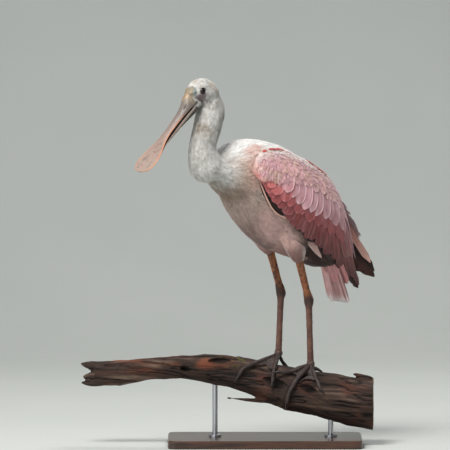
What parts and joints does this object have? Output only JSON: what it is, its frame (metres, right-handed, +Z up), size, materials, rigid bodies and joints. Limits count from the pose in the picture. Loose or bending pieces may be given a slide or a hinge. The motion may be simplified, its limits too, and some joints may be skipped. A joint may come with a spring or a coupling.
{
  "type": "museum-style bird figure",
  "caption": "Life-size roseate spoonbill standing on a length of driftwood, head turned, on a flat display base with two short rods.",
  "frame": {"origin": "middle of the display base's flat underside", "axes": "+X along the perch, to the right of someone who faces the bill side; +Y away from them; +Z up"},
  "size_m": [0.4999, 0.3321, 0.6299],
  "materials": {
    "white_plumage": "soft fine feathers, matte",
    "pink_plumage": "soft feathers, matte",
    "coral_plumage": "smooth vanes, low sheen",
    "thigh_plumage": "short mottled feathers, matte",
    "bill_horn": "smooth horn, satin",
    "eye": "wet gloss",
    "leg_skin": "scaly skin, matte",
    "claw_horn": "dark horn, satin",
    "weathered_wood": "weathered driftwood, rough",
    "dark_wood": "dark walnut, satin",
    "rod_steel": "brushed"
  },
  "bodies": {
    "root": {"head": "white_plumage", "neck_upper": "white_plumage", "neck_lower": "white_plumage", "torso": "pink_plumage", "bill_upper": "bill_horn", "bill_lower": "bill_horn", "eye_left": "eye", "eye_right": "eye", "tail": "pink_plumage", "wing_left_coverts": "pink_plumage", "wing_left_secondaries": "coral_plumage", "wing_left_primaries": "coral_plumage", "wing_right_coverts": "pink_plumage", "wing_right_secondaries": "coral_plumage", "wing_right_primaries": "coral_plumage", "perch": "weathered_wood", "stand_rod_left": "rod_steel", "stand_rod_right": "rod_steel", "stand_base": "dark_wood", "thigh_left": "thigh_plumage", "shin_left": "leg_skin", "tarsus_left": "leg_skin", "foot_left": "leg_skin", "claw_left_inner": "claw_horn", "claw_left_middle": "claw_horn", "claw_left_outer": "claw_horn", "claw_left_hind": "claw_horn", "thigh_right": "thigh_plumage", "shin_right": "leg_skin", "tarsus_right": "leg_skin", "foot_right": "leg_skin", "claw_right_inner": "claw_horn", "claw_right_middle": "claw_horn", "claw_right_outer": "claw_horn", "claw_right_hind": "claw_horn"}
  },
  "joints": []
}
